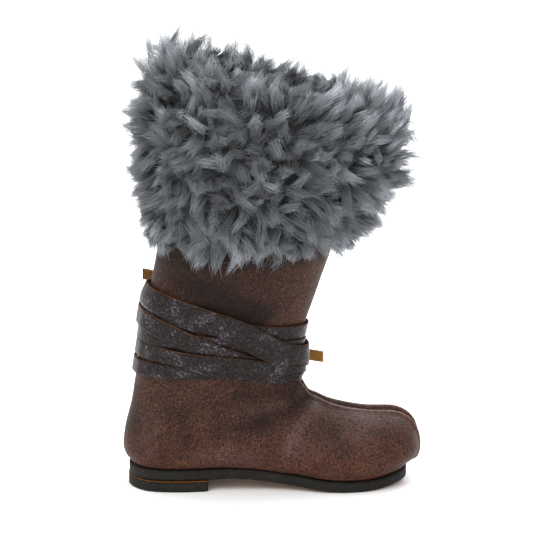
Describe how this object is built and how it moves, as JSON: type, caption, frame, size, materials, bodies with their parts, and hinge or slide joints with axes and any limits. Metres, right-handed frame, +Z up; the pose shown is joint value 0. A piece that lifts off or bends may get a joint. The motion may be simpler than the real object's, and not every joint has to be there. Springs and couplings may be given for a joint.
{
  "type": "doll boot",
  "caption": "Doll's left winter boot of soft brown leather, with a low heel, a deep grey fur cuff and a strap wound round the ankle.",
  "frame": {"origin": "middle of the heel lift's bottom face, on the floor", "axes": "+X from the heel to the toe, +Z up, -Y to the inner side of the foot"},
  "size_m": [0.0876, 0.0651, 0.1298],
  "materials": {
    "sole_board": "matt, edges stained near black, mottled tan underneath",
    "insole_board": "matt",
    "upper_leather": "distressed brown, fine dark speckle, satin",
    "grey_fur": "long soft pile",
    "strap_leather": "crackled gloss face, golden tan back"
  },
  "bodies": {
    "root": {"outsole": "sole_board", "heel_lift": "sole_board", "insole": "insole_board", "upper": "upper_leather", "fur_cuff": "grey_fur", "ankle_strap": "strap_leather", "strap_knot": "strap_leather", "strap_tail_front": "strap_leather", "strap_tail_back": "strap_leather"}
  },
  "joints": []
}
